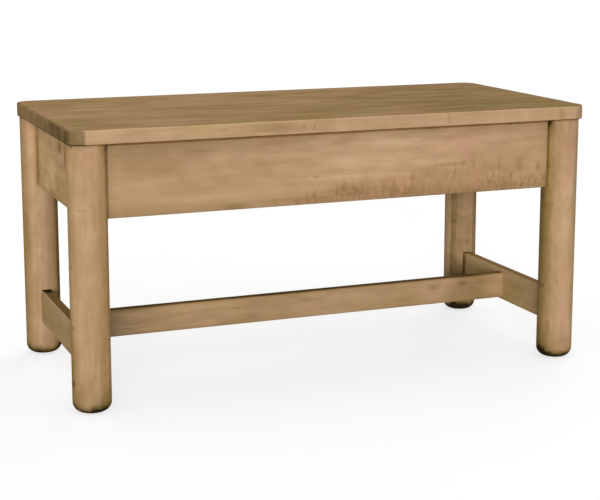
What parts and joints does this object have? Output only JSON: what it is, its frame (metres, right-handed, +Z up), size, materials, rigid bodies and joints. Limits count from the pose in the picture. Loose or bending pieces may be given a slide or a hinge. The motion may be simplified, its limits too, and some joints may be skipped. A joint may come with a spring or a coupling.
{
  "type": "wooden bench",
  "caption": "Low solid-wood bench: flat rectangular seat with rounded corners, turned round legs, deep aprons and an H-shaped stretcher near the floor.",
  "frame": {"origin": "on the floor, midway between the four legs", "axes": "+X along the seat's length, to the right as seen from the front; +Y to the back; +Z up"},
  "size_m": [0.976, 0.463, 0.4838],
  "materials": {
    "seat_wood": "nearly matt clear coat over a brown-grey stain",
    "leg_wood": "nearly matt clear coat over a tan stain",
    "rail_wood": "nearly matt clear coat over a tan stain",
    "hidden_wood": "bare planed wood",
    "screw_steel": "zinc plated"
  },
  "bodies": {
    "root": {"seat_board_front": "seat_wood", "seat_board_middle": "seat_wood", "seat_board_back": "seat_wood", "front_left_leg": "leg_wood", "front_right_leg": "leg_wood", "back_left_leg": "leg_wood", "back_right_leg": "leg_wood", "front_apron": "rail_wood", "back_apron": "rail_wood", "left_apron": "rail_wood", "right_apron": "rail_wood", "left_stretcher": "rail_wood", "right_stretcher": "rail_wood", "centre_stretcher": "rail_wood", "front_left_corner_block": "hidden_wood", "front_right_corner_block": "hidden_wood", "back_left_corner_block": "hidden_wood", "back_right_corner_block": "hidden_wood", "corner_block_screws": "screw_steel", "seat_buttons": "hidden_wood", "button_screws": "screw_steel"}
  },
  "joints": []
}
